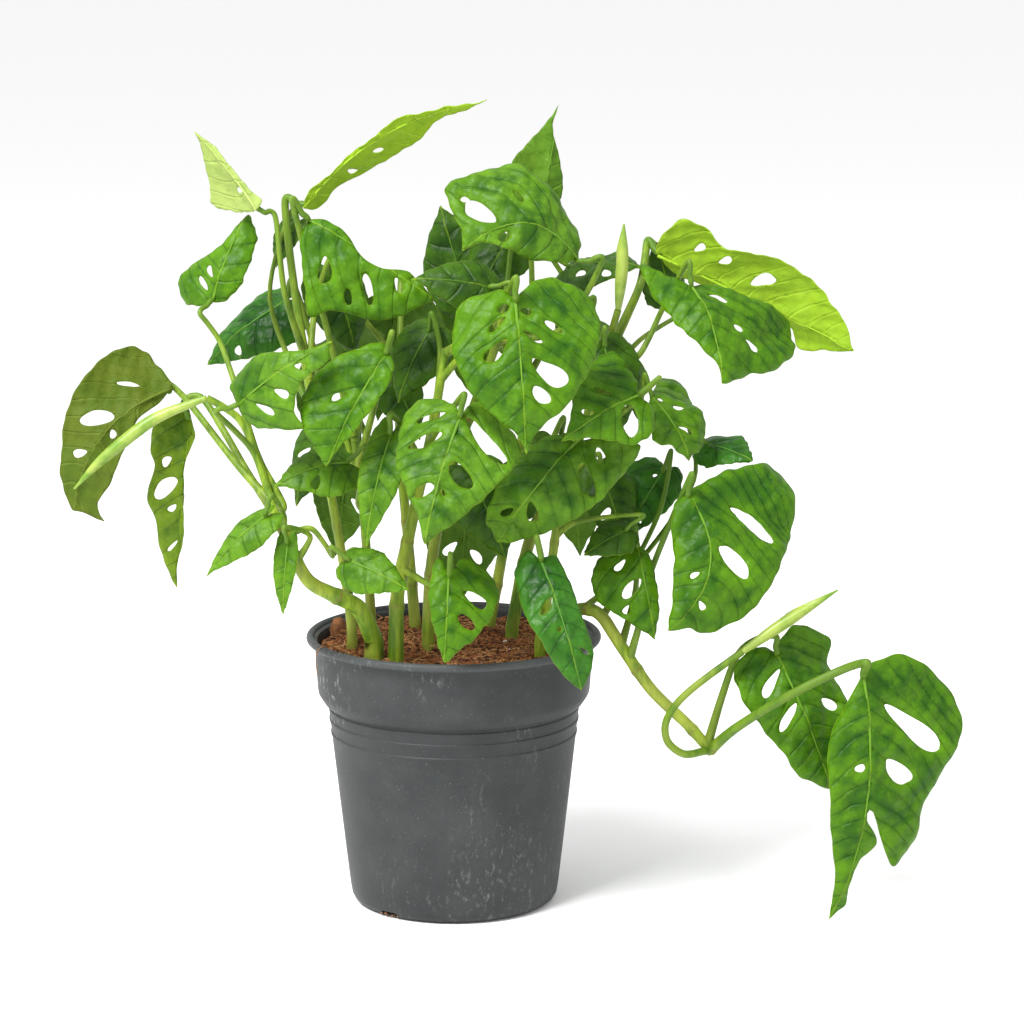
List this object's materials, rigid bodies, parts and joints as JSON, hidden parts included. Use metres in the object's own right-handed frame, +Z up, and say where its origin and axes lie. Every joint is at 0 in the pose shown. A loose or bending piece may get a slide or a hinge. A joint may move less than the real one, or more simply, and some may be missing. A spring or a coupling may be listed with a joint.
{
  "type": "potted swiss cheese vine",
  "caption": "Leafy climbing houseplant with holes in its heart-shaped leaves, several stems rising from a filled round nursery pot and one trailing over the rim.",
  "frame": {"origin": "centre of the pot's underside, on the surface it stands on", "axes": "+Z up along the pot's axis, +X to the side where the longest stem trails, -Y toward the front of the plant"},
  "size_m": [0.5065, 0.2453, 0.4646],
  "materials": {
    "pot_plastic": "matt grey, scuffed",
    "soil_coir": "moist fibrous",
    "stem_green": "satin living stem",
    "leaf_green": "satin quilted leaf",
    "new_leaf": "satin rolled leaf"
  },
  "bodies": {
    "root": {"pot": "pot_plastic", "soil": "soil_coir", "stem_west": "stem_green", "stem_northwest": "stem_green", "stem_inner_west": "stem_green", "stem_front": "stem_green", "stem_middle": "stem_green", "stem_east": "stem_green", "stem_trailing": "stem_green", "stem_southeast": "stem_green", "stem_back_west": "stem_green", "stem_back_east": "stem_green", "leaf_01": "leaf_green", "leaf_02": "leaf_green", "leaf_03": "leaf_green", "leaf_04": "leaf_green", "leaf_05": "leaf_green", "leaf_06": "leaf_green", "leaf_07": "leaf_green", "leaf_08": "leaf_green", "leaf_09": "leaf_green", "leaf_10": "leaf_green", "leaf_11": "leaf_green", "leaf_13": "leaf_green", "leaf_14": "leaf_green", "leaf_15": "leaf_green", "leaf_16": "leaf_green", "leaf_17": "leaf_green", "leaf_18": "leaf_green", "leaf_19": "leaf_green", "leaf_20": "leaf_green", "leaf_21": "leaf_green", "leaf_22": "leaf_green", "leaf_23": "leaf_green", "leaf_24": "leaf_green", "leaf_25": "leaf_green", "leaf_26": "leaf_green", "leaf_28": "leaf_green", "leaf_29": "leaf_green", "leaf_30": "leaf_green", "leaf_31": "leaf_green", "leaf_32": "leaf_green", "leaf_33": "leaf_green", "leaf_34": "leaf_green", "leaf_35": "leaf_green", "leaf_36": "leaf_green", "leaf_37": "leaf_green", "leaf_38": "leaf_green", "leaf_39": "leaf_green", "leaf_40": "leaf_green", "leaf_41": "leaf_green", "leaf_42": "leaf_green", "leaf_43": "leaf_green", "leaf_44": "leaf_green", "leaf_45": "leaf_green", "leaf_46": "leaf_green", "leaf_47": "leaf_green", "spear_west": "new_leaf", "spear_east": "new_leaf", "spear_trailing": "new_leaf"}
  },
  "joints": []
}
